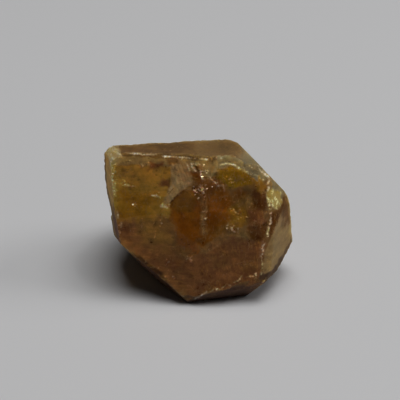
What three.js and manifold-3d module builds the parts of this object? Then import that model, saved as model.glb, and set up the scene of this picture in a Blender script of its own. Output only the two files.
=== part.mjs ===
// Grossular garnet crystal: one clear brown stone, broken open at the front.
// Millimetres and degrees, +Z up. The stone stands on its flat rest face, and the origin is
// the middle of the bottom of its box.
import * as THREE from "three";
import { mergeVertices } from "three/addons/utils/BufferGeometryUtils.js";
import Module from "manifold-3d";

const wasm = await Module();
wasm.setup();

// Driving dimensions. Every place below is measured from the middle of the crystal.
const roughBlockSide = 60;
const middleToTop = 12.0;
const middleToBreak = 5.6;
const middleToSide = 12.1;
const middleToBack = 10.5;
const middleToRest = 10.7;

// Natural faces, and the two flats of the big break at the front. Azimuth counts from +X
// towards +Y, elevation counts up from the horizontal, and distance runs from the middle of
// the crystal to the face.
const faces = [
  { name: "topLeft", azimuth: -153, elevation: 88.7, distance: middleToTop + 0.1 },
  { name: "topRight", azimuth: 27, elevation: 88.7, distance: middleToTop },
  { name: "break", azimuth: -94, elevation: 17, distance: middleToBreak },
  { name: "breakLower", azimuth: -93, elevation: 12, distance: middleToBreak + 0.3 },
  { name: "rightShoulder", azimuth: -19, elevation: 60, distance: middleToSide + 0.9 },
  { name: "rightUpper", azimuth: -30, elevation: 16, distance: middleToSide },
  { name: "rightLower", azimuth: -27, elevation: 0, distance: middleToSide },
  { name: "rightFoot", azimuth: -32, elevation: -11, distance: middleToSide + 0.75 },
  { name: "leftShoulder", azimuth: -160, elevation: 40, distance: middleToSide + 4.1 },
  { name: "leftUpper", azimuth: -165, elevation: 0, distance: middleToSide + 0.5 },
  { name: "leftLower", azimuth: -167, elevation: -6, distance: middleToSide + 0.1 },
  { name: "backTop", azimuth: 97, elevation: 45, distance: middleToBack },
  { name: "backTopBevel", azimuth: 50, elevation: 52, distance: middleToBack + 2.3 },
  { name: "backRightTop", azimuth: 24, elevation: 38, distance: middleToBack + 1.8 },
  { name: "backRight", azimuth: 38, elevation: 12, distance: middleToBack + 0.8 },
  { name: "backLeftTop", azimuth: 139, elevation: 40, distance: middleToBack + 5.3 },
  { name: "backLeft", azimuth: 168, elevation: 0, distance: middleToBack + 3.9 },
  { name: "backLeftLower", azimuth: 165, elevation: -9, distance: middleToBack + 3.6 },
  { name: "backUnder", azimuth: 95, elevation: -35, distance: middleToBack + 2.5 },
  { name: "backRightUnder", azimuth: 50, elevation: -40, distance: middleToBack + 2.5 },
  { name: "backLeftUnder", azimuth: 140, elevation: -30, distance: middleToBack + 4.0 },
  { name: "frontUnder", azimuth: -78, elevation: -34, distance: middleToRest + 0.1 },
  { name: "leftUnder", azimuth: -140, elevation: -35, distance: middleToRest - 0.4 },
  { name: "leftUnderBack", azimuth: -152, elevation: -36, distance: middleToRest },
  { name: "rightUnder", azimuth: -12, elevation: -35, distance: middleToRest + 3.4 },
  { name: "rightUnderFront", azimuth: -30, elevation: -42, distance: middleToRest + 2.8 },
  { name: "rest", azimuth: 0, elevation: -90, distance: middleToRest },
];

// Shell-shaped hollows of the break, wide and shallow. They overlap, so they meet in the low
// ridges that run over the break. Toward holds azimuth and elevation, depth is how far a
// hollow dips below its place, and bend is the radius of its curve.
const hollows = [
  { name: "leftTopHollow", at: [-9.9, -1.6, 10.6], toward: [-93, 15], bend: 45, depth: 0.5 },
  { name: "leftMiddleHollow", at: [-8.4, -3.4, 4.8], toward: [-96, 19], bend: 50, depth: 0.5 },
  { name: "leftLowerHollow", at: [-7.3, -5.1, -1.6], toward: [-95, 14], bend: 60, depth: 0.5 },
  { name: "topMiddleHollow", at: [-1.9, -3.0, 8.3], toward: [-97, 19], bend: 30, depth: 0.45 },
  { name: "topRightHollow", at: [6.0, -2.7, 10.6], toward: [-84, 30], bend: 34, depth: 0.4 },
  { name: "goldenHollow", at: [6.2, -4.3, 5.8], toward: [-89, 18], bend: 24, depth: 0.8 },
  { name: "windowHollow", at: [0.9, -4.9, 2.6], toward: [-97, 19], bend: 34, depth: 0.65 },
  { name: "darkHollow", at: [8.9, -5.8, 0.6], toward: [-88, 15], bend: 26, depth: 0.6 },
  { name: "lowerMiddleHollow", at: [-1.4, -6.6, -5.2], toward: [-95, 11], bend: 55, depth: 0.4 },
  { name: "lowerRightHollow", at: [5.4, -6.6, -4.4], toward: [-90, 13], bend: 45, depth: 0.5 },
];

// Small flakes knocked off the edges, those in front first. Width is across the flake, and
// spin turns its outline.
const chips = [
  { name: "bottomNotch", at: [6.9, -7.1, -6.8], width: 9, depth: 0.42, toward: [-84, -18], spin: 84 },
  { name: "shoulderNotch", at: [9.6, -2.0, 9.3], width: 3.4, depth: 0.3, toward: [5, 45], spin: 60 },
  { name: "rimTop", at: [8.2, -2.3, 9.4], width: 7, depth: 0.16, toward: [-58, 38], spin: 20 },
  { name: "rimHigh", at: [9.8, -3.1, 6.9], width: 8, depth: 0.2, toward: [-60, 18], spin: 75 },
  { name: "rimMiddle", at: [10.3, -4.6, 2.4], width: 8, depth: 0.22, toward: [-60, 12], spin: 100 },
  { name: "rimLow", at: [9.8, -5.7, -2.4], width: 10, depth: 0.28, toward: [-60, 5], spin: 85 },
  { name: "topLeftChip", at: [-8.6, -1.1, 11.8], width: 2.6, depth: 0.08, toward: [-94, 50], spin: 80 },
  { name: "topMiddleChip", at: [-4.6, -1.5, 11.8], width: 2.4, depth: 0.12, toward: [-94, 52], spin: 90 },
  { name: "cornerChip", at: [-12.3, -0.3, 11.5], width: 3.4, depth: 0.4, toward: [-140, 42], spin: 30 },
  { name: "leftEdgeChip", at: [-13.3, 3.4, -0.2], width: 8.0, depth: 0.45, toward: [178, -4], spin: 0 },
  { name: "tipChip", at: [-0.9, -7.3, -9.1], width: 3.4, depth: 0.3, toward: [-110, -20], spin: 45 },
  { name: "backRidgeChip", at: [-3.0, 15.3, -0.7], width: 5.2, depth: 0.4, toward: [95, 5], spin: 5 },
  { name: "backCornerChip", at: [4.8, 13.8, -3.6], width: 3.8, depth: 0.5, toward: [70, -20], spin: 120 },
  { name: "backLeftChip", at: [-12.4, 10.4, 2.6], width: 3.8, depth: 0.35, toward: [140, 18], spin: 60 },
  { name: "topBackChip", at: [-4.0, 2.3, 12.0], width: 2.8, depth: 0.15, toward: [95, 68], spin: 0 },
];

// How far a flake reaches at even angles around it, as shares of half its width.
const flakeReach = [0.5, 0.66, 0.94, 0.86, 0.56, 0.42, 0.6, 0.84, 1.0, 0.74, 0.46];
const flakeRings = 3;
const hollowReach = Array(24).fill(1);
const hollowRings = 5;

function facing(azimuth, elevation) {
  const around = THREE.MathUtils.degToRad(azimuth);
  const up = THREE.MathUtils.degToRad(elevation);
  return new THREE.Vector3(
    Math.cos(up) * Math.cos(around),
    Math.cos(up) * Math.sin(around),
    Math.sin(up),
  );
}

// Turns a shape drawn with +Z outwards so that it faces toward an azimuth and elevation, with
// its X axis level, and moves it to its place.
function placeFacing(geometry, toward, at) {
  const outward = facing(...toward);
  const level = new THREE.Vector3(0, 0, 1).cross(outward).normalize();
  const upward = outward.clone().cross(level);
  geometry.applyMatrix4(new THREE.Matrix4().makeBasis(level, upward, outward));
  geometry.translate(...at);
}

// A closed geometry as a solid that can be cut. Triangles that closed up at a pole are left out.
function solidFrom(geometry) {
  const bare = geometry.clone();
  bare.deleteAttribute("normal");
  bare.deleteAttribute("uv");
  const merged = mergeVertices(bare);
  const corners = merged.index.array;
  const kept = [];
  for (let i = 0; i < corners.length; i += 3) {
    const [a, b, c] = [corners[i], corners[i + 1], corners[i + 2]];
    if (a !== b && b !== c && c !== a) {
      kept.push(a, b, c);
    }
  }
  const mesh = new wasm.Mesh({
    numProp: 3,
    vertProperties: new Float32Array(merged.attributes.position.array),
    triVerts: new Uint32Array(kept),
  });
  return new wasm.Manifold(mesh);
}

// The part of space outside one flat face.
function outsideOf(face) {
  const block = new THREE.BoxGeometry(2 * roughBlockSide, 2 * roughBlockSide, roughBlockSide);
  block.translate(0, 0, roughBlockSide / 2 + face.distance);
  const turn = new THREE.Quaternion();
  turn.setFromUnitVectors(new THREE.Vector3(0, 0, 1), facing(face.azimuth, face.elevation));
  block.applyQuaternion(turn);
  return solidFrom(block);
}

// A cutter with a shell-shaped underside, like the flake that a knock breaks out of garnet.
// It dips by depth, its rim is halfWidth away, and reach makes its outline uneven.
function shellCutter(halfWidth, depth, reach, rings, spin, place) {
  const bend = (halfWidth ** 2 + depth ** 2) / (2 * depth);
  const rimAngle = Math.asin(halfWidth / bend);
  const profile = [];
  for (let ring = 0; ring <= rings; ring += 1) {
    const angle = (rimAngle * ring) / rings;
    const dip = depth - bend * (1 - Math.cos(angle));
    profile.push(new THREE.Vector2(bend * Math.sin(angle), -dip));
  }
  profile.push(new THREE.Vector2(halfWidth * (1 + Math.tan(rimAngle)), halfWidth));
  profile.push(new THREE.Vector2(0, halfWidth));
  const cutter = new THREE.LatheGeometry(profile, reach.length);
  const corners = cutter.attributes.position;
  for (let i = 0; i < corners.count; i += 1) {
    const column = Math.floor(i / profile.length) % reach.length;
    corners.setX(i, corners.getX(i) * reach[column]);
    corners.setZ(i, corners.getZ(i) * reach[column]);
  }
  cutter.rotateX(Math.PI / 2);
  cutter.rotateZ(THREE.MathUtils.degToRad(spin));
  placeFacing(cutter, place.toward, place.at);
  return solidFrom(cutter);
}

function hollowCutter(hollow) {
  const halfWidth = Math.sqrt(2 * hollow.bend * hollow.depth - hollow.depth ** 2);
  return shellCutter(halfWidth, hollow.depth, hollowReach, hollowRings, 0, hollow);
}

function flakeCutter(chip) {
  return shellCutter(chip.width / 2, chip.depth, flakeReach, flakeRings, chip.spin, chip);
}

function crystalGeometry() {
  let stone = solidFrom(new THREE.BoxGeometry(roughBlockSide, roughBlockSide, roughBlockSide));
  for (const face of faces) {
    stone = stone.subtract(outsideOf(face));
  }
  for (const hollow of hollows) {
    stone = stone.subtract(hollowCutter(hollow));
  }
  for (const chip of chips) {
    stone = stone.subtract(flakeCutter(chip));
  }
  const mesh = stone.getMesh();
  const geometry = new THREE.BufferGeometry();
  geometry.setAttribute("position", new THREE.BufferAttribute(mesh.vertProperties, 3));
  geometry.setIndex(new THREE.BufferAttribute(mesh.triVerts, 1));
  geometry.computeBoundingBox();
  const foot = new THREE.Vector3();
  geometry.boundingBox.getCenter(foot);
  foot.z = geometry.boundingBox.min.z;
  geometry.translate(-foot.x, -foot.y, -foot.z);
  geometry.computeVertexNormals();
  return geometry;
}

const garnet = new THREE.MeshStandardMaterial({ color: 0x6e4a1e, roughness: 0.22, metalness: 0.0 });

const crystal = new THREE.Mesh(crystalGeometry(), garnet);
crystal.name = "garnet_crystal";

const group = new THREE.Group();
group.add(crystal);

export default group;
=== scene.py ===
import math
import random

import bmesh
import bpy
import numpy as np
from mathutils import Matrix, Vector, noise
from mathutils.bvhtree import BVHTree
from mathutils.kdtree import KDTree


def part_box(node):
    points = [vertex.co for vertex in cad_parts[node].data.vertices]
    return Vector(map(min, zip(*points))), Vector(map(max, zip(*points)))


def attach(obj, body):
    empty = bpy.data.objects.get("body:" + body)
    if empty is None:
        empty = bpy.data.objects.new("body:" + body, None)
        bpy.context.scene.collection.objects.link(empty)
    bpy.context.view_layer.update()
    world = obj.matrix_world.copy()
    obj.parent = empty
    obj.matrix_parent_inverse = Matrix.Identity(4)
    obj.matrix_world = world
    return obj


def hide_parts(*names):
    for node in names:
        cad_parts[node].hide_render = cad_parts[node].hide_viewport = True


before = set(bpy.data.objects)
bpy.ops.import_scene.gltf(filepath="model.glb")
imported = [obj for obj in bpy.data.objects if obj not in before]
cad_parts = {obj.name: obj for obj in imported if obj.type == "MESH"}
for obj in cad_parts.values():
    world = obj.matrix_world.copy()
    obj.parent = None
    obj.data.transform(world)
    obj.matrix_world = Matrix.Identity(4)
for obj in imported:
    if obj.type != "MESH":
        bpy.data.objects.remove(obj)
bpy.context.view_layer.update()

mm = 0.001
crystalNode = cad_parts["garnet_crystal"]
boxLow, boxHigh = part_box("garnet_crystal")
boxMiddle, boxFoot = (boxLow[0] + boxHigh[0]) / 2 / mm, boxLow[2] / mm


def facing(azimuth, elevation):
    around, up = math.radians(azimuth), math.radians(elevation)
    return Vector((math.cos(up) * math.cos(around), math.cos(up) * math.sin(around), math.sin(up)))


def hexColor(code):
    # sRGB hex to the linear colour that the sockets take
    parts = [int(code[i:i + 2], 16) / 255 for i in (1, 3, 5)]
    return tuple(p / 12.92 if p <= 0.04045 else ((p + 0.055) / 1.055) ** 2.4 for p in parts) + (1.0,)


def addNode(tree, kind, settings, output=0):
    # a setting is a property of the node, or what one of its inputs gets: a value or another output
    node = tree.nodes.new(kind)
    for key, value in settings.items():
        if not isinstance(key, int) and key not in node.inputs:
            setattr(node, key, value)
        elif isinstance(value, bpy.types.NodeSocket):
            tree.links.new(value, node.inputs[key])
        else:
            node.inputs[key].default_value = value
    return node.outputs[output]


def smooth(value, start, end):
    share = np.clip((value - start) / (end - start), 0.0, 1.0)
    return share * share * (3 - 2 * share)


# camera, light and floor

studio = {
    "cameraPlace": (0.05 * mm, -184.6 * mm, 118.3 * mm),
    "cameraTilt": 60,          # degrees up from looking straight down
    "lens": 126,
    "sensor": 36,
    "nearest": 0.01,
    "lightDistance": 1.2,
    # each light: azimuth and elevation, size in metres and watts
    "lights": {
        "key": ((-22, 81), 0.95, 8.5),      # the softbox, almost overhead and a little to the front right
        "lamp": ((-25, 74), 0.05, 0.3),     # a small bare lamp beside it, which only gives the glints
        "fill": ((0, 38), 0.6, 2.4),        # a white card at the right, which opens the shadow there
    },
    "roomGlow": 0.024,
    "floorSize": 3.0,
    "floorColor": "#cfcfd0",
    "floorRoughness": 0.9,
    "floorShine": 0.2,
}


def makeStudio():
    scene = bpy.context.scene
    cameraData = bpy.data.cameras.new("camera")
    cameraData.lens = studio["lens"]
    cameraData.sensor_width = studio["sensor"]
    cameraData.clip_start = studio["nearest"]
    camera = bpy.data.objects.new("camera", cameraData)
    camera.location = studio["cameraPlace"]
    camera.rotation_euler = (math.radians(studio["cameraTilt"]), 0, 0)
    scene.collection.objects.link(camera)
    scene.camera = camera

    for name, (place, size, power) in studio["lights"].items():
        lightData = bpy.data.lights.new(name, "AREA")
        lightData.shape = "DISK"
        lightData.size = size
        lightData.energy = power
        light = bpy.data.objects.new(name, lightData)
        direction = facing(*place)
        light.location = direction * studio["lightDistance"]
        light.rotation_euler = direction.to_track_quat("Z", "Y").to_euler()
        scene.collection.objects.link(light)

    world = bpy.data.worlds.new("studioRoom")
    world.use_nodes = True
    glow = world.node_tree.nodes["Background"].inputs
    glow["Color"].default_value = (1, 1, 1, 1)
    glow["Strength"].default_value = studio["roomGlow"]
    scene.world = world

    half = studio["floorSize"] / 2
    corners = [(-half, -half, 0), (half, -half, 0), (half, half, 0), (-half, half, 0)]
    floorMesh = bpy.data.meshes.new("floor")
    floorMesh.from_pydata(corners, [], [(0, 1, 2, 3)])
    floor = bpy.data.objects.new("floor", floorMesh)
    scene.collection.objects.link(floor)
    # matte backdrop paper: it scatters the light and shows next to no reflection
    paper = bpy.data.materials.new("matte_paper_sweep")
    paper.use_nodes = True
    surface = paper.node_tree.nodes["Principled BSDF"].inputs
    surface["Base Color"].default_value = hexColor(studio["floorColor"])
    surface["Roughness"].default_value = studio["floorRoughness"]
    surface["Specular IOR Level"].default_value = studio["floorShine"]
    floorMesh.materials.append(paper)

    scene.view_settings.view_transform = "Standard"
    scene.view_settings.look = "Medium High Contrast"
    print("studio ready")


# The crystal. Lengths are in millimetres. A place on the front is (x, z): across from the middle
# of the crystal's box and up from its foot.

garnet = {
    # mesh
    "octreeDepth": 7,
    "remeshScale": 0.97,
    "breakFacing": (-94, 17),     # azimuth and elevation of the big break
    "breakSpread": (20, 34),      # degrees off it where break turns into natural face
    "fineSpread": 40,             # faces within this many degrees of it are split in four
    "edgeAngle": 24,              # a CAD edge sharper than this can be worn
    "edgeStep": 0.15,
    "sharpAngle": 32,             # edges sharper than this stay sharp in the shading

    # relief: size and height
    "swell": (2.8, 0.09),         # soft lumps of the break
    "grain": (0.9, 0.01),
    "splinter": (0.6, 0.03),      # tiny flat faces, in patches of this size
    "splinterPatch": 2.2,
    "terrace": (4.5, 0.02),       # growth steps on the natural faces
    "terraceSteps": 6,
    "hackleFrom": (-0.6, 19.6),   # where the break started, at its top middle
    "hackle": (5.5, 0.012),       # ridges per radian, and their height
    "hackleReach": (0.5, 5),      # where the ridges begin, and where they are at their full height
    "edgeReach": 0.3,             # width and depth of the wear along the sharp edges
    "edgeDepth": 0.12,
    "edgeChips": (0.9, 0.15),     # size of the chips in it, and how much there is between them
    "rimReach": 1.6,              # how much wider it is on the left rim, and where that begins
    "rimLeftOf": (11.8, 12.7),
    "rimAbove": (13.5, 16.5),

    # hollows where small pieces popped out: place, radius and depth
    "pits": [
        ((-0.5, 17.3), 0.7, 0.18), ((0.3, 17.7), 0.5, 0.14), ((-0.4, 19.8), 0.8, 0.16),
        ((-0.5, 20.9), 0.5, 0.14), ((2.7, 18.1), 0.8, 0.16), ((-0.1, 16.3), 0.4, 0.12),
        ((-0.5, 21.1), 0.3, 0.14), ((0.2, 20.3), 0.3, 0.12), ((-10.2, 17.5), 0.6, 0.1),
        ((-6.4, 16.9), 0.8, 0.12), ((-5.1, 18.4), 0.9, 0.12), ((4.8, 12.3), 1.0, 0.16),
        ((5.5, 14.4), 0.7, 0.1), ((6.0, 17.2), 1.2, 0.12), ((-1.6, 7.5), 0.6, 0.12),
        ((9.6, 12.6), 0.6, 0.14), ((-3.7, 6.2), 0.5, 0.08), ((-0.5, 8.7), 0.5, 0.08),
        ((2.3, 20.2), 0.5, 0.08),
    ],

    # cracks and splinters on the break: corners, width, height, tone, how strong and how broken up. A
    # pale or straw mark is the stone's pale crack and also a painted highlight of the glints along it.
    "marks": [
        # strokes at the top middle, where the blow landed
        (((-1.85, 21.3), (-1.65, 20.9), (-1.5, 20.2)), 0.1, 0.12, "pale", 0.5, 0.2),
        (((-1.2, 21.4), (-1.1, 20.9), (-0.6, 20.35)), 0.11, 0.14, "pale", 0.6, 0.1),
        (((-0.6, 21.6), (-0.4, 21.2)), 0.14, 0.08, "straw", 0.5, 0.2),
        (((0.05, 21.5), (0.2, 21.0), (0.45, 20.5)), 0.1, 0.06, "tan", 0.5, 0.2),
        (((-0.65, 20.95), (-0.2, 20.5)), 0.2, -0.12, "dark", 0.6, 0.1),
        (((0.1, 20.3), (0.2, 19.7), (0.5, 19.3)), 0.13, 0.08, "pale", 0.6, 0.2),
        (((1.3, 19.4), (1.8, 19.2), (2.3, 18.8)), 0.14, 0.08, "pale", 0.4, 0.3),
        # the strongest lines of the fan of hackle beside them, painted lighter where their ridges catch
        # the light
        (((-4.3, 21.0), (-3.9, 19.9), (-3.2, 18.4)), 0.09, 0.03, "fan", 0.4, 0.2),
        (((-3.3, 20.6), (-2.8, 19.4), (-2.1, 17.9)), 0.1, 0.03, "tan", 0.4, 0.2),
        (((-2.3, 17.4), (-3.0, 16.9), (-3.6, 16.4), (-4.3, 15.6)), 0.14, -0.06, "dark", 0.7, 0.1),
        (((-4.4, 19.2), (-4.45, 17.9)), 0.12, -0.05, "dark", 0.4, 0.2),
        # the light strand down the middle
        (((0.9, 17.0), (1.0, 16.3), (0.9, 15.6)), 0.12, 0.06, "tan", 0.35, 0.4),
        (((0.85, 15.3), (0.8, 14.4), (0.85, 13.3)), 0.13, 0.07, "tan", 0.45, 0.4),
        (((0.35, 13.9), (0.4, 12.8), (0.5, 11.4)), 0.24, 0.06, "tan", 0.5, 0.2),
        # curve over the golden hollow
        (((3.0, 21.5), (4.0, 21.6), (4.9, 21.4), (5.6, 21.0)), 0.11, 0.06, "straw", 0.45, 0.25),
        (((5.5, 21.0), (7.0, 20.2), (8.2, 19.7), (9.2, 19.0)), 0.14, 0.06, "straw", 0.35, 0.25),
        # the chipped front edge of the top
        (((-11.8, 22.4), (-9.4, 22.4), (-6.4, 22.4)), 0.11, 0.04, "pale", 0.55, 0.45),
        (((-5.4, 22.3), (-4.9, 22.3), (-4.3, 22.3)), 0.12, 0.07, "pale", 0.6, 0.2),
        (((-4.1, 22.3), (-1.4, 22.2), (1.0, 22.2), (3.2, 22.3)), 0.11, 0.04, "pale", 0.5, 0.45),
        (((-12.6, 21.0), (-8.2, 20.9)), 0.1, 0.03, "tan", 0.4, 0.3),
        # splinters left of the middle
        (((-7.0, 16.55), (-6.4, 16.5), (-5.85, 16.4)), 0.12, 0.07, "pale", 0.4, 0.1),
        (((-11.0, 17.9), (-10.3, 17.7), (-9.5, 17.7)), 0.1, 0.05, "pale", 0.35, 0.2),
        (((-5.7, 15.1), (-5.1, 15.1), (-4.8, 15.0)), 0.18, 0.07, "pale", 0.5, 0.1),
        # low ridges in the smoother part
        (((-2.7, 14.9), (-2.7, 14.3), (-2.2, 13.6)), 0.1, 0.04, "tan", 0.4, 0.2),
        (((1.0, 8.5), (1.9, 9.2), (2.9, 10.0)), 0.16, 0.05, "tan", 0.4, 0.2),
        (((5.6, 11.1), (6.5, 11.0)), 0.13, 0.05, "tan", 0.4, 0.2),
        (((2.7, 18.35), (3.4, 18.5), (3.6, 17.6)), 0.11, 0.06, "pale", 0.35, 0.1),
        # beads along the broken rim at the right, pale crushed stone with painted glints
        (((9.0, 20.4), (9.7, 19.8), (9.9, 19.3), (10.2, 18.8), (9.9, 18.2), (10.1, 17.6)),
         0.18, 0.1, "pale", 0.7, 0.5),
        (((10.0, 17.4), (9.95, 16.4), (10.1, 15.6), (10.3, 14.9)), 0.2, 0.12, "straw", 0.9, 0.2),
        (((10.3, 14.5), (10.6, 13.9), (10.35, 13.3), (10.45, 12.8), (10.1, 12.2)), 0.17, 0.1, "pale",
         0.6, 0.5),
        (((10.2, 12.0), (9.9, 11.5), (10.0, 11.0)), 0.18, 0.09, "straw", 0.7, 0.45),
        (((9.5, 9.8), (9.2, 9.2), (9.4, 8.7), (9.15, 8.0)), 0.2, 0.08, "pale", 0.6, 0.5),
        (((9.2, 7.6), (9.3, 6.4), (9.15, 5.0)), 0.14, 0.06, "straw", 0.5, 0.5),
        (((9.2, 17.6), (9.7, 17.1)), 0.12, 0.06, "tan", 0.6, 0.2),
        (((7.2, 5.0), (7.7, 4.9), (8.2, 5.2)), 0.2, 0.04, "straw", 0.3, 0.4),
        # ragged edge over the facet at the foot
        (((-0.4, 1.3), (0.2, 1.9), (1.1, 2.6)), 0.1, 0.05, "pale", 0.45, 0.1),
        (((1.5, 2.6), (2.4, 3.1), (2.9, 2.9)), 0.1, 0.05, "straw", 0.35, 0.3),
        (((3.3, 3.2), (4.0, 3.7), (4.5, 3.5)), 0.1, 0.05, "straw", 0.3, 0.3),
        (((4.9, 3.9), (5.7, 4.2), (6.2, 4.9)), 0.1, 0.05, "straw", 0.35, 0.3),
        # left rim
        (((-13.1, 22.4), (-13.1, 21.6), (-13.05, 20.8)), 0.17, 0.05, "straw", 0.4, 0.3),
        (((-12.7, 22.2), (-12.0, 22.2), (-11.4, 22.1)), 0.22, 0.05, "pale", 0.5, 0.35),
        (((-13.0, 20.9), (-12.9, 19.6), (-12.8, 18.6)), 0.22, 0.04, "straw", 0.3, 0.3),
        (((-12.5, 18.3), (-12.4, 17.3), (-12.4, 16.2)), 0.2, 0.05, "straw", 0.25, 0.3),
        (((-12.1, 14.0), (-12.0, 13.2)), 0.16, 0.05, "pale", 0.3, 0.2),
        (((-11.5, 12.4), (-11.6, 11.8)), 0.16, 0.06, "pale", 0.35, 0.2),
    ],

    "markFlecks": 0.34,           # size of the pieces that a mark is broken up in
    "markSpark": 0.5,             # how much of its strength a pale mark sparkles
    "paleMarks": ("pale", "straw"),

    # glints, tiny faces that lean back to the light, with a painted highlight in their colour: place,
    # radius and how bright
    "glints": [
        ((0.4, 17.75), 0.26, 1.0), ((0.65, 17.3), 0.2, 0.7), ((-0.6, 17.5), 0.18, 0.75),
        ((-0.2, 16.35), 0.17, 0.8), ((0.4, 19.7), 0.18, 0.8), ((1.55, 19.65), 0.2, 0.5),
        ((2.65, 18.35), 0.18, 0.7), ((0.8, 13.45), 0.18, 0.5), ((4.0, 12.4), 0.18, 0.6),
        ((4.8, 12.3), 0.15, 0.5), ((-1.5, 7.45), 0.15, 0.55), ((-5.1, 15.1), 0.18, 0.5),
        ((-4.95, 22.3), 0.2, 0.7), ((-4.4, 22.3), 0.15, 0.6), ((4.9, 21.4), 0.18, 0.5),
        ((9.7, 19.8), 0.2, 0.9), ((10.05, 16.3), 0.28, 1.0), ((10.4, 14.2), 0.18, 0.6),
        ((10.4, 13.1), 0.18, 0.7), ((-0.6, 1.2), 0.18, 0.7), ((-4.6, 6.8), 0.13, 0.7),
        ((-4.0, 4.7), 0.13, 0.6), ((-6.1, 5.8), 0.14, 0.6), ((-5.6, 12.6), 0.13, 0.6),
    ],

    # sprays of still smaller ones: middle, spread across and up, how many and how bright
    "sprays": [
        ((0.0, 17.5), (0.75, 0.75), 26, 0.9), ((0.0, 20.6), (1.1, 0.8), 20, 0.8),
        ((2.4, 18.7), (0.7, 0.5), 12, 0.9), ((0.7, 14.6), (0.45, 1.9), 12, 0.35),
        ((4.7, 12.2), (0.9, 0.4), 18, 0.9), ((5.4, 14.8), (1.1, 1.2), 22, 0.45),
        ((5.0, 19.4), (1.8, 0.7), 14, 0.45), ((7.8, 15.6), (1.2, 1.8), 12, 0.4),
        ((-1.5, 7.5), (0.35, 0.35), 8, 0.6), ((-6.3, 16.7), (0.6, 0.5), 9, 0.5),
        ((-10.9, 18.0), (0.7, 0.5), 7, 0.5), ((-9.4, 15.3), (0.5, 0.3), 6, 0.9),
        ((-5.0, 15.2), (0.5, 0.3), 6, 0.5), ((-7.8, 21.0), (3.5, 0.8), 8, 0.25),
        ((-7.0, 12.5), (2.5, 2.0), 10, 0.2), ((-4.6, 5.6), (1.4, 1.2), 8, 0.3),
        ((8.2, 4.9), (1.0, 0.5), 10, 0.35), ((9.2, 8.6), (0.2, 0.8), 8, 0.5),
        ((9.6, 19.3), (0.4, 0.7), 8, 0.6), ((-12.8, 18.6), (0.5, 2.8), 44, 0.5),
        ((-12.5, 22.1), (0.7, 0.4), 16, 0.8), ((-11.7, 12.0), (0.3, 1.5), 6, 0.35),
        ((7.6, 20.9), (1.6, 0.6), 8, 0.35), ((0.5, 1.4), (0.8, 0.4), 5, 0.4),
    ],
    "sprayRadius": (0.07, 0.15),
    "flakeStep": 0.45,            # one tiny flake for each of these along a pale crack
    "flakeScatter": 0.12,
    "flakeRadius": (0.08, 0.16),
    "flakeLong": (1.0, 1.8),      # length over width
    "leanUp": (0.7, 1.15),        # 1 leans back 45 degrees, which turns it to the light
    "leanAside": (-0.05, 0.4),
    "flakeSeed": 7,

    # dark grains sealed close under the surface: place and radius
    "grains": [
        ((-10.2, 17.35), 0.24), ((-10.9, 19.9), 0.45), ((-6.3, 20.2), 0.16), ((-6.3, 19.5), 0.16),
        ((-5.0, 19.9), 0.25), ((-8.9, 18.7), 0.2), ((-0.15, 16.6), 0.26), ((-1.4, 14.4), 0.26),
        ((-1.25, 13.7), 0.14), ((-0.6, 12.4), 0.3), ((-6.3, 12.4), 0.5), ((-8.5, 12.5), 0.3),
        ((-8.8, 10.8), 0.4), ((-10.2, 12.0), 0.4), ((-7.1, 9.6), 0.26), ((3.7, 20.7), 0.16),
        ((6.5, 19.75), 0.13), ((5.2, 19.1), 0.13), ((4.4, 18.0), 0.16), ((5.5, 14.6), 0.45),
        ((9.6, 12.6), 0.3), ((11.5, 13.5), 0.4), ((-0.6, 8.5), 0.22), ((-2.1, 6.9), 0.17),
        ((-3.8, 5.5), 0.17), ((0.3, 5.3), 0.3), ((-1.2, 4.8), 0.4), ((2.6, 17.7), 0.2),
        ((2.4, 20.4), 0.22), ((-2.6, 10.4), 0.2),
    ],
    "grainDark": 0.5,

    # crushed patches, where the stone is splintered: place, half sizes and turn. The first is crushed
    # through, and pale; its pale colour is also a painted reflection of a crack inside.
    "bruises": [
        ((11.0, 15.9), (0.8, 1.9), 33), ((0.1, 17.6), (0.6, 0.5), 0), ((4.7, 12.3), (0.8, 0.35), 0),
        ((-12.5, 21.9), (0.8, 0.6), 20), ((9.8, 19.3), (0.3, 0.8), 27),
    ],
    "bruiseThrough": 3,           # how far a bruise reaches to the front and back of its place
    "bruiseSplinter": (0.7, 0.06),     # size and height of the splinters in it, and of the finest
    "bruiseDust": (0.3, 0.025),
    "crushedLumps": 0.9,

    # border of each kind of spot: how ragged, where it starts and ends, and where nothing is left of
    # it, in radiuses
    "pitSpot": (0.6, 0.2, 1.1, 1.7),
    "flakeSpot": (0.5, 0.5, 1.1, 1.6),
    "grainSpot": (0.9, 0.1, 1.5, 1.8),
    "bruiseSpot": (0.25, 0.75, 1.1, 1.6),
    "crushedSpot": (0.3, 0.75, 1.1, 1.6),

    # parts of the front: tone, corners, how soft the border is, and how clear the stone is there
    "zones": {
        "leftField": ("olive", [(-14, 21), (-4, 21), (-4, 12.4), (-9.5, 13.2), (-14, 14.4)],
            0.8, 0.3),
        "leftFoot": ("brown", [(-14, 14), (-9.5, 13.4), (-4, 12.2), (-3, 9), (-2.4, 1.5), (-7, 4),
            (-13, 9)], 1.6, 0.1),
        "leftFootLight": ("footOlive", [(-9.2, 13), (-6.2, 13.2), (-4.2, 11.2), (-5.0, 8.8),
            (-8.6, 9.4)], 1.2, 0.2),
        "leftLowEdge": ("mauve", [(-12.8, 13.2), (-11.3, 13), (-10.2, 10.6), (-9.4, 8.6),
            (-12.8, 8.6)], 0.5, 0),
        # painted shade: a dark band along the lower left edge, where the face turns down over the
        # shadowed floor
        "leftFootEdge": ("shadedFootEdge", [(-9.9, 8.0), (-7.2, 6.4), (-5.4, 4.7), (-2.7, 2.3), (-3.4, 0),
            (-12, 4)], 0.25, 0),
        "lowerMiddle": ("mauve", [(-4.4, 7.4), (-0.5, 8.6), (3.2, 10.4), (9.8, 10.8), (9.4, 4.4),
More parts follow.
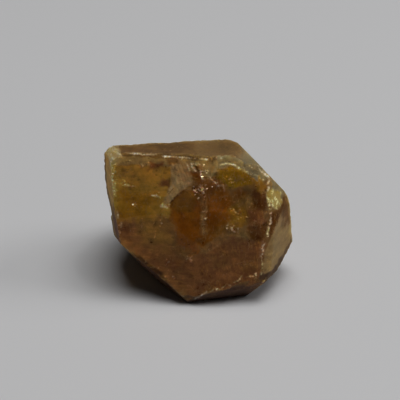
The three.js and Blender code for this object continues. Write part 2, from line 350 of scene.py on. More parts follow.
            (-0.4, 0), (-4.4, 2)], 1.0, 0),
        "leftRim": ("leftEdge", [(-14, 21.4), (-12.6, 21.4), (-12.2, 20), (-12.4, 16.2), (-14, 16)],
            0.4, 0),
        "topBand": ("khaki", [(-14, 23), (3, 23), (3, 20.3), (-1.6, 20.4), (-5.2, 20.8), (-14, 20.8)],
            0.2, 0),
        # painted shade: a darker band along the rounded front edge of the top, which would otherwise
        # catch the light
        "frontEdgeShade": ("topLight", [(-11.4, 23.5), (3, 23.5), (3, 21.9), (-11.4, 22)], 0.12, 0),
        "redderPatch": ("mauve", [(-7.6, 20.4), (-7.2, 21.2), (-5.3, 21.6), (-5.3, 20.8)], 0.3, 0),
        "middle": ("amber", [(-1, 20.2), (3, 20), (4.6, 17.4), (4.6, 12.4), (2, 10.4), (-2.6, 9.2),
            (-1, 12)], 0.7, 0.5),
        "leftDeep": ("deepOlive", [(-12.2, 17.2), (-7.3, 17.4), (-6.2, 15.8), (-7.4, 14.2),
            (-7.7, 12.7), (-11.8, 12.7)], 0.8, 0.4),
        "fan": ("fan", [(-4.3, 22), (-1.4, 22), (-1.2, 18.4), (-2.1, 17.6), (-4.7, 15.4), (-5.2, 16),
            (-4.35, 18)], 0.3, 0),
        "fanHead": ("topLight", [(-4.7, 22.1), (-3.2, 22.1), (-2.9, 21.3), (-4.7, 20.9)], 0.3, 0),
        "umberPatch": ("mauve", [(-5.9, 17.8), (-5.4, 18.7), (-4.5, 19.1), (-4.4, 17.6)], 0.3, 0.3),
        "window": ("honey", [(-2.3, 17.3), (-1.1, 17), (-0.1, 15.8), (-0.2, 9), (-0.8, 8.5),
            (-2.6, 8.8), (-3.3, 10.6), (-4, 12.5), (-4.6, 15), (-3.2, 16.6)], 0.6, 1),
        "windowHead": ("moss", [(-2.3, 17.3), (-1.1, 17), (-0.6, 15.6), (-1.2, 14.2), (-3.6, 14.4),
            (-4.5, 15.3), (-3.2, 16.6)], 0.2, 0.9),
        # painted shade: darker colour laid in the pits where the blow landed
        "startPitShade": ("umber", [(-1.2, 18.1), (0, 18.4), (0.3, 17.8), (0.1, 16.4), (-0.9, 16.6)],
            0.2, 0.3),
        "underStrokes": ("amber", [(-1.4, 20.1), (-0.1, 20.4), (0.9, 19), (-0.2, 18.6)], 0.5, 0.3),
        "rightWindow": ("honey", [(1.4, 16.4), (3, 16.9), (4.3, 15.6), (3.6, 13.2), (1.3, 12.8)],
            0.8, 0.7),
        "besideStrokes": ("khaki", [(0.6, 22), (2.8, 22), (2.9, 20.6), (1.6, 19.2), (0.4, 19.6)],
            0.4, 0.1),
        "strand": ("strand", [(0, 17.2), (1, 17), (1.1, 11.2), (0.1, 11.2), (0.2, 14.6)], 0.3, 0),
        "goldenHollow": ("gold", [(2.6, 21.2), (4.8, 21.1), (7.4, 20.0), (7.4, 18.4), (5.2, 18),
            (3.6, 18.3), (2.4, 19.6)], 0.4, 0.5),
        "rightShade": ("umber", [(7.4, 17.4), (8.4, 17.9), (9.9, 17.2), (9.8, 14.8), (8, 14.6)],
            0.3, 0.55),
        "upperShade": ("deepOlive", [(7.4, 19.9), (9.2, 19.6), (9.9, 17.4), (8.2, 17.8)], 0.4, 0.5),
        "lowerShade": ("umber", [(6.8, 12.4), (7.8, 13.2), (9.8, 13.2), (9.7, 10.4), (7.6, 10.6)],
            0.25, 0.5),
        "rosyBlock": ("mauve", [(6.8, 14.8), (9.7, 14.6), (9.7, 13.1), (7, 12.8)], 0.4, 0.2),
        "deepShade": ("amber", [(5, 17.3), (6.2, 17.7), (7.4, 17.2), (6.4, 16.4), (5.2, 16.6)],
            0.35, 0.5),
        "lowerGold": ("deepOlive", [(4.4, 15.6), (5.6, 16.2), (7, 14.8), (6.4, 13.2), (4.6, 12.9)],
            0.6, 0.4),
        "arc": ("shoulder", [(2.6, 23), (10.5, 21.5), (10.2, 18.9), (9.2, 19.2), (6, 20.7),
            (4.8, 21.2), (2.7, 21.2)], 0.15, 0),
        "rimStrip": ("umber", [(10.2, 14.4), (12.8, 15), (12.4, 13), (11.4, 11.8), (10.2, 10.8)],
            0.2, 0.5),
        "rightFace": ("beige", [(12.8, 17), (12.4, 14), (11.5, 12.4), (10.4, 10.4), (9.7, 8.5),
            (9.4, 4.6), (15, 4.6), (15, 18)], 0.15, 0),
        "rightFaceTop": ("dusk", [(12.0, 12.8), (12.6, 17), (15, 17), (15, 9.4), (13, 9.4)], 0.5, 0),
        # painted shade: the lower edge of the right face is painted dark, as it mirrors the shadowed
        # floor
        "rightFoot": ("shadedFootRight", [(8.9, 5.2), (11.4, 5.0), (12.8, 5.9), (14.4, 7.7), (15, 3.5),
            (8.6, 2.5)], 0.2, 0),
    },
    "zoneRagged": 0.15,           # how ragged the borders are at least
    "zoneLumps": 1.4,             # size of the lumps in them, and of those on the other faces
    "faceLumps": 1.8,
    "rightFrom": 8.5,             # the zones also cover the faces at the right of this

    # parts of the other faces: middle, half sizes, tone and how soft the border is. The tones on the
    # undersides and the foot are painted shade, as these faces look down at the shadowed floor.
    "faceZones": [
        ((0.0, 0.0, 22.7), (17.0, 17.0, 1.0), "topDark", 0.2),
        ((6.6, 0.0, 22.7), (8.4, 40.0, 1.8), "topLight", 0.03),
        ((10.5, -7.0, 2.4), (6.4, 5.0, 4.4), "shadedUnderside", 0.2),
        ((8.2, -1.5, 21.0), (3.4, 9.0, 2.3), "bevel", 0.2),
        ((-13.0, -4.6, 18.4), (1.6, 3.2, 5.2), "leftSide", 0.2),
        # the chipped corner is painted pale, as crushed stone and as a painted highlight
        ((-12.9, -4.6, 22.0), (1.5, 2.2, 1.3), "corner", 0.2),
        ((12.6, -3.0, 18.0), (2.0, 6.0, 2.6), "bevel", 0.2),
        ((-12.3, -6.8, 9.8), (1.6, 3.6, 3.4), "leftLow", 0.2),
        ((-6.6, -8.6, 4.0), (6.4, 3.0, 4.0), "shadedFootLeft", 0.2),
        ((5.0, -9.8, 1.4), (9.0, 2.4, 2.6), "shadedUnderside", 0.2),
    ],
    "outsideBreak": ("shadedUnderside", "shadedFootLeft"),     # painted shade tones of the undersides, which may also lie over the break

    # the stone's own colours, out of the shade; the tones of the undersides and the foot hold painted
    # shade, and pale and straw are partly painted highlight
    "tones": {
        "stone": "#8e7048",
        "olive": "#c69e4a",
        "brown": "#986c45",
        "mauve": "#90623e",
        "amber": "#98601e",
        "tan": "#c4a06e",
        "strand": "#9c7246",
        "honey": "#b06c12",
        "deepOlive": "#ae822a",
        "footOlive": "#a67e42",
        "gold": "#aa880c",
        "umber": "#724616",
        "beige": "#aa9066",
        "topDark": "#6f563a",
        "topLight": "#7e6544",
        "bevel": "#867a5e",
        "corner": "#c8b084",
        "leftEdge": "#c09a50",
        "leftSide": "#cea862",
        "shadedFootLeft": "#442a20",
        "leftLow": "#724c3a",
        "khaki": "#b09a6c",
        "fan": "#bea276",
        "moss": "#a67018",
        "shoulder": "#948868",
        "shadedFootEdge": "#4c3224",
        "dusk": "#6e4e30",
        "shadedFootRight": "#5a463c",
        "shadedUnderside": "#644c42",
        "pale": "#f4e0c2",
        "straw": "#ece4ac",
        "dark": "#3a2008",
    },
}


def fineCrystal():
    crystal = bpy.data.objects.new("crystal", crystalNode.data.copy())
    bpy.context.scene.collection.objects.link(crystal)
    remesh = crystal.modifiers.new("remesh", "REMESH")
    remesh.mode = "SHARP"
    remesh.octree_depth = garnet["octreeDepth"]
    remesh.scale = garnet["remeshScale"]
    graph = bpy.context.evaluated_depsgraph_get()
    fine = bpy.data.meshes.new_from_object(crystal.evaluated_get(graph))
    crystal.modifiers.clear()
    crystal.data = fine
    fine.name = "crystal"
    # the break carries the smallest marks, so its faces are split once more
    grid = bmesh.new()
    grid.from_mesh(fine)
    ahead, limit = facing(*garnet["breakFacing"]), math.cos(math.radians(garnet["fineSpread"]))
    front = [face for face in grid.faces if face.normal.dot(ahead) > limit]
    edges = list({edge for face in front for edge in face.edges})
    bmesh.ops.subdivide_edges(grid, edges=edges, cuts=1, use_grid_fill=True)
    bmesh.ops.triangulate(grid, faces=[face for face in grid.faces if len(face.verts) > 4])
    grid.to_mesh(fine)
    grid.free()
    triangles = sum(len(face.vertices) - 2 for face in fine.polygons)
    print("crystal mesh:", len(fine.vertices), "points,", triangles, "triangles")
    return crystal


def cadSurface():
    # the CAD crystal in millimetres: its tree, and a tree of points along its sharp edges
    mesh = crystalNode.data
    points = [v.co / mm for v in mesh.vertices]
    keys = {}
    for point in points:
        keys.setdefault(tuple(round(c, 3) for c in point), len(keys))
    merged = [Vector(k) for k in keys]
    faces = [[keys[tuple(round(c, 3) for c in points[i])] for i in p.vertices] for p in mesh.polygons]
    tree = BVHTree.FromPolygons(merged, faces)
    normals = [(merged[b] - merged[a]).cross(merged[c] - merged[a]).normalized() for a, b, c in faces]
    beside = {}
    for number, corners in enumerate(faces):
        for a, b in zip(corners, corners[1:] + corners[:1]):
            beside.setdefault((min(a, b), max(a, b)), []).append(number)
    limit = math.cos(math.radians(garnet["edgeAngle"]))
    sharp = []
    for (a, b), pair in beside.items():
        if len(pair) == 2 and normals[pair[0]].dot(normals[pair[1]]) < limit:
            steps = max(1, int((merged[a] - merged[b]).length / garnet["edgeStep"]))
            sharp += [merged[a].lerp(merged[b], s / steps) for s in range(steps + 1)]
    edges = KDTree(len(sharp))
    for number, point in enumerate(sharp):
        edges.insert(point, number)
    edges.balance()
    return tree, edges


def onFront(tree, place):
    # a place seen from the front, taken back to the surface
    across, up = boxMiddle + place[0], boxFoot + place[1]
    before, nearSurface = -40, -6
    hit = tree.ray_cast(Vector((across, before, up)), Vector((0, 1, 0)))[0]
    if hit is None:
        hit = tree.find_nearest(Vector((across, nearSurface, up)))[0]
    return np.array(hit)


def noiseField(points, size, octaves, seed):
    # lumps of a given size. The seed moves the pattern, which keeps each one apart from the others.
    scaled = points / np.broadcast_to(np.array(size, float), 3) + seed * 17.3
    return np.array([noise.fractal(Vector(p), 1.0, 2.0, octaves) for p in scaled])


def splinterField(points, size, seed):
    # small flat faces, each with a lean of its own
    heights = np.zeros(len(points))
    for number, point in enumerate(points / size + seed * 11.7):
        centre = noise.voronoi(Vector(point))[1][0]
        lean = noise.cell_vector(centre * 13.7)
        heights[number] = (Vector(point) - centre).dot(lean - Vector((0.5, 0.5, 0.5))) * 2
    return heights


def nearLine(places, corners):
    # distance to a line through some corners
    gap = np.full(len(places), np.inf)
    for a, b in zip(corners[:-1], corners[1:]):
        along = np.clip((places - a) @ (b - a) / ((b - a) @ (b - a)), 0, 1)
        gap = np.minimum(gap, np.linalg.norm(places - a - along[:, None] * (b - a), axis=1))
    return gap


def insideCorners(flatPlaces, corners):
    # distance inside a patch with straight sides, negative outside
    corners = np.array(corners, float)
    gap = nearLine(flatPlaces, np.vstack([corners, corners[:1]]))
    x, z = flatPlaces[:, 0], flatPlaces[:, 1]
    inside = np.zeros(len(x), bool)
    for (ax, az), (bx, bz) in zip(corners, np.roll(corners, -1, axis=0)):
        if az != bz:
            inside ^= ((az > z) != (bz > z)) & (x < (bx - ax) * (z - az) / (bz - az) + ax)
    return np.where(inside, gap, -gap)


def raggedSpot(places, reach, size, spot, seed, octaves=3):
    # 1 in the middle of a spot and 0 outside it. Reach is 1 at its radius, and size is the size of
    # the lumps in its border.
    ragged, start, end, limit = spot
    near = reach < limit
    share = np.zeros(len(places))
    rough = noiseField(places[near], size, octaves, seed)
    share[near] = 1 - smooth(reach[near] + ragged * rough, start, end)
    return share


def blend(colors, tone, share):
    colors += (np.array(hexColor(garnet["tones"][tone])[:3]) - colors) * share[:, None]


def paint(places, flat, tree, broken):
    # the stone's colour at each point, with painted shade on the undersides and the foot, and how clear
    # it is there
    stone = hexColor(garnet["tones"]["stone"])[:3]
    colors = np.tile(np.array(stone), (len(places), 1))
    for middle, half, tone, soft in garnet["faceZones"]:
        reach = np.linalg.norm((places - tree.find_nearest(Vector(middle))[0]) / half, axis=1)
        reach += (0.02 + 0.6 * soft) * noiseField(places, garnet["faceLumps"], 2, seed=12)
        outside = 1 if tone in garnet["outsideBreak"] else 1 - broken
        blend(colors, tone, (1 - smooth(reach, 0.95 - soft, 0.95 + soft)) * outside)

    front = (places[:, 1] < -1) & ((broken > 0.02) | (places[:, 0] > garnet["rightFrom"]))
    here = places[front]
    sheet = here[:, [0, 2]] - (boxMiddle, boxFoot)
    ragged = np.column_stack([noiseField(here, garnet["zoneLumps"], 3, seed) for seed in (13, 14)])
    frontColors, clear, fanned = colors[front], np.zeros(front.sum()), np.zeros(front.sum())
    facingFront = smooth(-flat[front][:, 1], 0.25, 0.5) * smooth(flat[front][:, 2], -0.45, -0.2)
    for name, (tone, corners, soft, clearHere) in garnet["zones"].items():
        inside = insideCorners(sheet + (garnet["zoneRagged"] + soft) * ragged, corners)
        share = smooth(inside, -soft, soft) * facingFront
        blend(frontColors, tone, share)
        clear += (clearHere - clear) * share
        fanned = share if name == "fan" else fanned * (1 - share)
    for place, radius in garnet["grains"]:
        reach = np.linalg.norm(here - onFront(tree, place), axis=1) / radius
        share = raggedSpot(here, reach, radius, garnet["grainSpot"], seed=15)
        blend(frontColors, "dark", garnet["grainDark"] * share)
    colors[front] = frontColors
    clearness, fan = np.zeros(len(places)), np.zeros(len(places))
    clearness[front], fan[front] = clear, fanned
    print("painted", front.sum(), "points of the front")
    return colors, clearness, fan


def breakRelief(places, tree, broken):
    # soft lumps, splinters in patches, and the fan of hackle below the place of the blow
    size, height = garnet["swell"]
    rise = height * noiseField(places, size, 3, seed=1) * broken
    size, height = garnet["grain"]
    rise += height * noiseField(places, size, 3, seed=2) * broken
    onBreak = broken > 0.05
    size, height = garnet["splinter"]
    patchy = smooth(noiseField(places, garnet["splinterPatch"], 2, seed=8), -0.1, 0.5)
    rise[onBreak] += height * splinterField(places[onBreak], size, seed=1) * (broken * patchy)[onBreak]

    start = onFront(tree, garnet["hackleFrom"])
    across, up = places[:, 0] - start[0], places[:, 2] - start[2]
    angle, distance = np.arctan2(across, -up), np.hypot(across, up)
    perRadian, height = garnet["hackle"]
    begin, full = garnet["hackleReach"]
    fan = np.column_stack([angle * perRadian, distance / full, np.zeros(len(places))])
    rise += height * noiseField(fan, 1, 3, seed=3) * broken * smooth(distance, begin, full)
    return rise


def cutPits(places, tree, rise):
    for place, radius, depth in garnet["pits"]:
        reach = np.linalg.norm(places - onFront(tree, place), axis=1) / radius
        rise -= depth * raggedSpot(places, reach, radius * 0.8, garnet["pitSpot"], seed=4)


def raiseMarks(places, tree, rise, colors):
    # cracks and splinters; returns how dense the stone is there and how much it sparkles
    fleck = noiseField(places, garnet["markFlecks"], 2, seed=7)
    dense, spark = np.zeros(len(places)), np.zeros(len(places))
    for corners, width, height, tone, strength, gaps in garnet["marks"]:
        gap = nearLine(places, [onFront(tree, corner) for corner in corners])
        share = np.exp(-((gap / width) ** 2)) * smooth(fleck, gaps - 0.75, gaps - 0.25)
        rise += height * share
        blend(colors, tone, strength * share)
        dense = np.maximum(dense, strength * share)
        if tone in garnet["paleMarks"]:
            spark = np.maximum(spark, garnet["markSpark"] * strength * share)
    return dense, spark


def bruiseShare(places, tree, bruise, size, spot):
    place, half, turn = bruise
    centre, c, s = onFront(tree, place), math.cos(math.radians(turn)), math.sin(math.radians(turn))
    dx, dz = places[:, 0] - centre[0], places[:, 2] - centre[2]
    reach = np.hypot((dx * c + dz * s) / half[0], (dz * c - dx * s) / half[1])
    reach[np.abs(places[:, 1] - centre[1]) >= garnet["bruiseThrough"]] = np.inf
    return raggedSpot(places, reach, size, spot, seed=9)


def crush(places, tree, rise):
    for bruise in garnet["bruises"]:
        size, depth = garnet["bruiseSplinter"]
        share = bruiseShare(places, tree, bruise, size, garnet["bruiseSpot"])
        near = share > 0
        rise[near] += depth * share[near] * (splinterField(places[near], size, seed=3) - 1)
        size, depth = garnet["bruiseDust"]
        rise[near] += depth * share[near] * splinterField(places[near], size, seed=4)
    return bruiseShare(places, tree, garnet["bruises"][0], garnet["crushedLumps"], garnet["crushedSpot"])


def scatterFlakes(tree, chance):
    # glints stand alone, follow the pale cracks or lie in sprays: middle, radius and how bright
    flakes = [(onFront(tree, place), radius, bright) for place, radius, bright in garnet["glints"]]
    scatter, step = garnet["flakeScatter"], garnet["flakeStep"]
    for corners, width, height, tone, strength, gaps in garnet["marks"]:
        if tone in garnet["paleMarks"] and height > 0:
            ends = [onFront(tree, corner) for corner in corners]
            for start, end in zip(ends[:-1], ends[1:]):
                for flake in range(int(np.linalg.norm(end - start) / step) + 1):
                    off = np.array([chance.gauss(0, scatter), 0, chance.gauss(0, scatter)])
                    middle = start + (end - start) * chance.random() + off
                    radius = chance.uniform(*garnet["flakeRadius"])
                    flakes.append((middle, radius, strength * chance.uniform(0.2, 1.0)))
    for middle, spread, howMany, bright in garnet["sprays"]:
        for flake in range(howMany):
            place = [chance.gauss(middle[0], spread[0] / 1.5), chance.gauss(middle[1], spread[1] / 1.5)]
            radius = chance.uniform(*garnet["sprayRadius"])
            flakes.append((onFront(tree, place), radius, bright * chance.uniform(0.4, 1.3)))
    return flakes


def leanFlakes(places, tree, rise, colors, spark):
    chance = random.Random(garnet["flakeSeed"])
    for centre, radius, bright in scatterFlakes(tree, chance):
        off = places - centre
        turn, long = chance.uniform(0, math.pi), chance.uniform(*garnet["flakeLong"])
        along = (off[:, 0] * math.cos(turn) + off[:, 2] * math.sin(turn)) / long
        beside = (off[:, 2] * math.cos(turn) - off[:, 0] * math.sin(turn)) * long ** 0.5
        reach = np.sqrt(along * along + beside * beside + off[:, 1] ** 2) / radius
        share = raggedSpot(places, reach, radius, garnet["flakeSpot"], seed=10, octaves=2)
        leanUp, leanAside = chance.uniform(*garnet["leanUp"]), chance.uniform(*garnet["leanAside"])
        rise -= share * (leanUp * off[:, 2] + leanAside * off[:, 0])
        # painted highlight: a dim flake lightens the stone's colour and a bright one is painted pale, as
        # the glint of the light on it
        colors += (np.minimum(colors * 1.9 + 0.05, 0.8) - colors) * (0.8 * share)[:, None]
        blend(colors, "pale", min(max(1.4 * bright - 0.4, 0.0), 1.0) * share)
        np.maximum(spark, bright * share, out=spark)


def relief(crystal):
    mesh = crystal.data
    count = len(mesh.vertices)
    places, normals = np.empty(count * 3), np.empty(count * 3)
    mesh.vertices.foreach_get("co", places)
    mesh.vertex_normals.foreach_get("vector", normals)
    places, normals = places.reshape(-1, 3) / mm, normals.reshape(-1, 3)

    tree, edges = cadSurface()
    flat = np.array([tree.find_nearest(Vector(p))[1] for p in places])
    away = np.array([edges.find(Vector(p))[2] for p in places])
    toBreak = np.degrees(np.arccos(np.clip(flat @ np.array(facing(*garnet["breakFacing"])), -1, 1)))
    broken = 1 - smooth(toBreak, *garnet["breakSpread"])
    colors, clearness, fan = paint(places, flat, tree, broken)

    rise = breakRelief(places, tree, broken)
    cutPits(places, tree, rise)
    dense, spark = raiseMarks(places, tree, rise, colors)
    crushed = crush(places, tree, rise)
    leanFlakes(places, tree, rise, colors, spark)

    size, height = garnet["terrace"]
    steps = garnet["terraceSteps"]
    rise += height * np.round(noiseField(places, size, 2, seed=5) * steps) / steps * (1 - broken)

    size, between = garnet["edgeChips"]
    worn = noiseField(places, size, 3, seed=6) + between
    leftRim = smooth(-places[:, 0], *garnet["rimLeftOf"]) * smooth(places[:, 2], *garnet["rimAbove"])
    edge = 1 - smooth(away, 0.0, garnet["edgeReach"] + garnet["rimReach"] * leftRim)
    rise -= garnet["edgeDepth"] * edge * np.clip(worn * 1.6, 0, 1)

    moved = places + normals * rise[:, None]
    moved[:, 2] = np.maximum(moved[:, 2], 0.0)      # the crystal stays on the floor
    mesh.vertices.foreach_set("co", (moved * mm).ravel())
    layers = {
        "broken": broken,
        "edgeWear": edge * np.clip(worn * 1.4 + 0.3, 0, 1),
        "clear": clearness,
        "fan": fan,
        "dense": np.maximum(dense, spark),          # splintered stone is not clear
        "crushed": crushed,
        "spark": spark,
    }
    for name, values in layers.items():
        layer = mesh.attributes.new(name, "FLOAT", "POINT")
        layer.data.foreach_set("value", values.astype(np.float32))
    layer = mesh.attributes.new("stoneColor", "FLOAT_VECTOR", "POINT")
    layer.data.foreach_set("vector", np.clip(colors, 0, 0.95).astype(np.float32).ravel())
    mesh.update()
    print("relief from", rise.min().round(2), "to", rise.max().round(2), "mm")


# Grossular, grown in clear and cloudy parts and broken by a blow. It has a resinous lustre, so the
# break looks oily and the etched natural faces look dull. Light goes a few millimetres into the
# cloudy parts and deep into the orange windows.

finish = {
    "ior": 1.74,              # grossular
    "mirror": 0.12,           # specular level; the real surface is etched finer than the mesh
    "tint": (0.9, 0.74, 0.55),
    "clearDepth": (0.80, 0.55, 0.12),
    "clearDensity": 60,
    "milkyReach": 10 * mm,
    "milkySpread": (1.0, 0.8, 0.5),
    "ripple": (0.3, 0.05 * mm),        # strength and depth of the finest ripples
    "mottleDull": 0.25,                # how much of the mottle shows in the roughness
    "shutTo": 0.1,                     # share of its clearness that splintered stone keeps
    # colours of the crushed patch: pale crushed stone, and a painted reflection of the crack inside it
    "crushed": ("#eee8b0", "#b09c5e"),
    "bend": (1.6, 4.0, 0.55, 3.0),     # noise that bends the wider cracks, and how far it does

    # noise: size in millimetres, detail, roughness, and a shift that keeps it apart from the others
    "noises": {
        "oliveCloud": (3.2, 3.0, 0.55, 31.0),  # growth clouds, some millimetres wide
        "russetCloud": (2.6, 3.0, 0.55, 57.0),
        "mottle": (1.3, 4.0, 0.6, 0.0),        # milkiness between them
        "grain": (0.2, 2.0, 0.5, 68.0),        # the finest that the render shows; real dust is finer
        "patches": (2.2, 2.0, 0.5, 43.0),      # where grain and fine cracks are thick
        "paleGaps": (1.1, 3.0, 0.6, 13.0),     # where the wider cracks fade out
        "darkGaps": (0.9, 3.0, 0.6, 77.0),
        "darkSpecks": (0.45, 2.0, 0.5, 91.0),
        "paleSpecks": (0.35, 2.0, 0.5, 23.0),
        "crushing": (0.8, 3.0, 0.6, 0.0),
        "chips": (0.26, 2.0, 0.6, 0.0),        # chips along the worn edges
        "ripples": (0.3, 3.0, 0.6, 0.0),
    },

    # ways to stretch noise: lumps to a millimetre across, deep and up
    "stretches": {
        "level": (0.5, 1.2, 2.6),
        "upright": (3.2, 3.2, 1.4),
        "banded": (0.2, 0.2, 1.3),
    },
    "turnBetween": (-1.0, 0.5),                # from left to right of here, level turns to upright
    "fanTurn": -23,                            # lean and stretch of the fan
    "fanStretch": (0.3, 1.0, 2.6),

    # stretched noise: which way, detail and roughness
    "streaks": {
        "fineCracks": ("levelOrUpright", 4.0, 0.6),
        "flecks": ("upright", 3.0, 0.6),       # golden flecks, which hang upright
        "bands": ("banded", 2.0, 0.5),         # growth bands
        "hackle": ("fanned", 2.0, 0.5),        # fine lines that fan down from the place of the blow
    },

    # cells with straight walls: size in millimetres
    "cells": {
        "planes": 2.6,         # flat inner cracks
        "paleCracks": 3.6,     # wider healed cracks
        "darkCracks": 2.3,
    },

    # masks: what each one reads, where that starts and ends, the mask's values there, how it goes
    # from one to the other, and the mask that it is multiplied by
    "masks": {
        "inBreak": ("broken", 0, 1, 0.45, 1, "LINEAR", None),
        "olive": ("oliveCloud", 0.5, 0.72, 0, 0.15, "SMOOTHSTEP", "inBreak"),
        "russet": ("russetCloud", 0.52, 0.75, 0, 0.08, "SMOOTHSTEP", "inBreak"),
        "mottled": ("mottle", 0.36, 0.64, 0.84, 1.1, "LINEAR", None),
        "hazeAndSheen": ("mottle", 0.38, 0.66, 0, 0.1, "LINEAR", "inBreak"),
        "grainy": ("grain", 0.34, 0.66, 0.88, 1.12, "LINEAR", None),
        "patchy": ("patches", 0.4, 0.62, 0.3, 1, "SMOOTHSTEP", "inBreak"),
        "cloudy": ("clear", 0, 0.7, 1, 0.25, "SMOOTHSTEP", "patchy"),
        "healed": ("fineCracks", 0.5, 0.62, 0, 0.2, "SMOOTHSTEP", "cloudy"),
        "planeTone": ("planes", 0, 1, 0.9, 1.1, "LINEAR", None),
        "banded": ("bands", 0.36, 0.64, 0.9, 1.1, "LINEAR", None),
        "notWindow": ("clear", 0.8, 0.6, 0.3, 1, "SMOOTHSTEP", None),
        "halfClear": ("clear", 0.1, 0.5, 0, 1, "SMOOTHSTEP", "notWindow"),
        "flecked": ("flecks", 0.53, 0.64, 0, 0.38, "SMOOTHSTEP", "halfClear"),
        "hackleLinesAndHighlight": ("hackle", 0.5, 0.65, 0, 0.14, "SMOOTHSTEP", "fan"),
        "hackleDark": ("hackle", 0.5, 0.35, 0, 0.16, "SMOOTHSTEP", "fan"),
        "paleHere": ("paleGaps", 0.52, 0.64, 0, 0.4, "SMOOTHSTEP", None),
        "paleCrack": ("paleCracks", 0.028, 0.004, 0, 1, "SMOOTHSTEP", "paleHere"),
        "darkHere": ("darkGaps", 0.52, 0.68, 0, 0.4, "SMOOTHSTEP", None),
        "darkCrack": ("darkCracks", 0.06, 0.01, 0, 1, "SMOOTHSTEP", "darkHere"),
        "darkSpeck": ("darkSpecks", 0.72, 0.82, 0, 0.4, "SMOOTHSTEP", None),
        "paleSpeck": ("paleSpecks", 0.73, 0.82, 0, 0.3, "SMOOTHSTEP", None),
        "crushTone": ("crushing", 0.36, 0.5, 0, 1, "SMOOTHSTEP", None),
        "edge": ("chipped", 0.36, 0.52, 0, 0.6, "SMOOTHSTEP", None),
        "dull": ("broken", 0, 1, 0.595, 0.195, "LINEAR", None),        # roughness, before the mottle
        "polish": ("spark", 0.1, 0.6, 1, 0.65, "SMOOTHSTEP", None),
        "foil": ("spark", 0.4, 1, 0, 0.4, "LINEAR", None),
        "through": ("clear", 0, 1, 0.22, 0.5, "LINEAR", None),         # transmission, cloudy and window
    },

    # layers of colour, from the stone's own colour up: mask, colour or a mask's brightness, and how
    "layers": [
        ("olive", "#9a8c44", "MIX"),
        ("russet", "#96603a", "MIX"),
        ("inBreak", "mottled", "MULTIPLY"),
        ("hazeAndSheen", "#c89a3e", "ADD"),             # haze of healed cracks too fine to see one by one, added as a light colour that is also a painted sheen
        ("patchy", "grainy", "MULTIPLY"),
        # painted sheen in part: fine healed cracks added as a light colour, like the faint reflection on
        # the break
        ("healed", "#c89a3e", "ADD"),
        ("inBreak", "planeTone", "MULTIPLY"),   # flat inner cracks, each lighter or darker than the next
        ("everywhere", "banded", "MULTIPLY"),
        ("flecked", "#aa9066", "MIX"),
        # pale fan lines, partly painted highlight where the hackle ridges catch the light
        ("hackleLinesAndHighlight", "#ece4ac", "MIX"),
        ("hackleDark", "#724616", "MIX"),
        ("paleCrack", "#c4a06e", "MIX"),
        ("darkCrack", "#3a2008", "MIX"),
        ("darkSpeck", "#3a2008", "MIX"),
        ("paleSpeck", "#f4e0c2", "MIX"),
        ("crushed", "crushedStoneAndShine", "MIX"),
        ("edge", "#ceaa66", "MIX"),
    ],
}


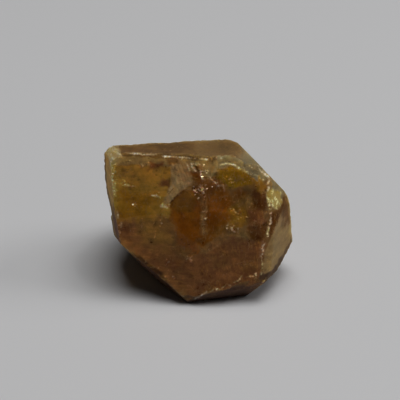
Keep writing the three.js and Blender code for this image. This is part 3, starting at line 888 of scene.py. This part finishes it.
def garnetMaterial():
    material = bpy.data.materials.new("grossular_garnet_broken_and_natural")
    material.use_nodes = True
    tree = material.node_tree
    found = {"everywhere": 1.0}          # all that a mask or a layer can read, by its name
    for name in ("broken", "edgeWear", "clear", "fan", "dense", "crushed", "spark"):
        found[name] = addNode(tree, "ShaderNodeAttribute", {"attribute_name": name}, "Fac")
    color = addNode(tree, "ShaderNodeAttribute", {"attribute_name": "stoneColor"}, "Color")

    onStone = addNode(tree, "ShaderNodeTexCoord", {}, "Object")
    inMm = addNode(tree, "ShaderNodeVectorMath", {"operation": "SCALE", 0: onStone, "Scale": 1 / mm})
    for name, (size, detail, rough, shift) in finish["noises"].items():
        moved = addNode(tree, "ShaderNodeVectorMath", {"operation": "ADD", 0: inMm, 1: (shift,) * 3})
        found[name] = addNode(tree, "ShaderNodeTexNoise", {"Vector": moved, "Scale": 1 / size,
                              "Detail": detail, "Roughness": rough})

    places = {}
    for name, lumps in finish["stretches"].items():
        places[name] = addNode(tree, "ShaderNodeVectorMath", {"operation": "MULTIPLY", 0: inMm, 1: lumps})
    # fine healed cracks lie level on the left of the stone and stand upright on the right
    across = addNode(tree, "ShaderNodeSeparateXYZ", {0: inMm})
    left, right = finish["turnBetween"]
    atRight = addNode(tree, "ShaderNodeMapRange", {"interpolation_type": "SMOOTHSTEP", "Value": across,
                      "From Min": left, "From Max": right})
    places["levelOrUpright"] = addNode(tree, "ShaderNodeMix", {"data_type": "VECTOR", 0: atRight,
                                       4: places["level"], 5: places["upright"]}, 1)
    places["fanned"] = addNode(tree, "ShaderNodeMapping", {"vector_type": "TEXTURE", "Vector": inMm,
                               "Rotation": (0, math.radians(finish["fanTurn"]), 0),
                               "Scale": finish["fanStretch"]})
    for name, (way, detail, rough) in finish["streaks"].items():
        found[name] = addNode(tree, "ShaderNodeTexNoise", {"Vector": places[way], "Scale": 1.0,
                              "Detail": detail, "Roughness": rough})

    # wider healed cracks show as fine broken lines along the walls of bent cells
    size, detail, rough, far = finish["bend"]
    wander = addNode(tree, "ShaderNodeTexNoise", {"Vector": inMm, "Scale": 1 / size,
                     "Detail": detail, "Roughness": rough}, "Color")
    centred = addNode(tree, "ShaderNodeVectorMath", {"operation": "SUBTRACT", 0: wander, 1: (0.5,) * 3})
    bent = addNode(tree, "ShaderNodeVectorMath", {"operation": "MULTIPLY_ADD", 0: centred,
                   1: (far,) * 3, 2: inMm})
    for name in ("paleCracks", "darkCracks"):
        found[name] = addNode(tree, "ShaderNodeTexVoronoi", {"feature": "DISTANCE_TO_EDGE",
                              "Vector": bent, "Scale": 1 / finish["cells"][name]}, "Distance")
    planes = addNode(tree, "ShaderNodeTexVoronoi", {"Vector": inMm,
                     "Scale": 1 / finish["cells"]["planes"]}, "Color")
    found["planes"] = addNode(tree, "ShaderNodeSeparateColor", {0: planes})
    found["chipped"] = addNode(tree, "ShaderNodeMath", {"operation": "MULTIPLY", 0: found["edgeWear"],
                               1: found["chips"]})

    for name, (read, start, end, atStart, atEnd, change, within) in finish["masks"].items():
        mask = addNode(tree, "ShaderNodeMapRange", {"interpolation_type": change, "Value": found[read],
                       "From Min": start, "From Max": end, "To Min": atStart, "To Max": atEnd})
        if within:
            mask = addNode(tree, "ShaderNodeMath", {"operation": "MULTIPLY", 0: mask, 1: found[within]})
        found[name] = mask

    light, dark = finish["crushed"]
    found["crushedStoneAndShine"] = addNode(tree, "ShaderNodeMix", {"data_type": "RGBA", 0: found["crushTone"],
                                    6: hexColor(light), 7: hexColor(dark)}, 2)
    for mask, cover, blendType in finish["layers"]:
        cover = hexColor(cover) if cover.startswith("#") else found[cover]
        color = addNode(tree, "ShaderNodeMix", {"data_type": "RGBA", "blend_type": blendType,
                        0: found[mask], 6: color, 7: cover}, 2)

    rough = addNode(tree, "ShaderNodeMath", {"operation": "MULTIPLY_ADD", 0: found["mottle"],
                    1: finish["mottleDull"], 2: found["dull"]})
    rough = addNode(tree, "ShaderNodeMath", {"operation": "MULTIPLY", 0: rough, 1: found["polish"]})

    # worn edges, crushed patches and splinters let little light in
    shut = found["edge"]
    for name in ("crushed", "dense"):
        shut = addNode(tree, "ShaderNodeMath", {"operation": "MAXIMUM", 0: shut, 1: found[name]})
    opened = addNode(tree, "ShaderNodeMapRange", {"Value": shut, "To Min": 1.0,
                     "To Max": finish["shutTo"]})
    through = addNode(tree, "ShaderNodeMath", {"operation": "MULTIPLY", 0: found["through"], 1: opened})

    strength, depth = finish["ripple"]
    ripples = addNode(tree, "ShaderNodeMath", {"operation": "MULTIPLY", 0: found["ripples"],
                      1: found["broken"]})
    bump = addNode(tree, "ShaderNodeBump", {"Strength": strength, "Distance": depth, "Height": ripples})

    surface = tree.nodes["Principled BSDF"].inputs
    # little cracks just under the skin send the light straight back, like foil: that is the metallic
    for name, source in {"Base Color": color, "Roughness": rough, "Metallic": found["foil"],
                         "Transmission Weight": through, "Normal": bump}.items():
        tree.links.new(source, surface[name])
    for name, value in {"IOR": finish["ior"], "Specular IOR Level": finish["mirror"],
                        "Specular Tint": finish["tint"] + (1,), "Subsurface Weight": 1.0,
                        "Subsurface Radius": finish["milkySpread"],
                        "Subsurface Scale": finish["milkyReach"]}.items():
        surface[name].default_value = value
    absorb = addNode(tree, "ShaderNodeVolumeAbsorption", {"Color": finish["clearDepth"] + (1,),
                     "Density": finish["clearDensity"]})
    tree.links.new(absorb, tree.nodes["Material Output"].inputs["Volume"])
    print("garnet material:", len(tree.nodes), "nodes")
    return material


makeStudio()
crystal = fineCrystal()
relief(crystal)
crystal.data.materials.clear()
crystal.data.materials.append(garnetMaterial())
crystal.data.polygons.foreach_set("use_smooth", [True] * len(crystal.data.polygons))
crystal.data.set_sharp_from_angle(angle=math.radians(garnet["sharpAngle"]))
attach(crystal, "root")
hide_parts("garnet_crystal")
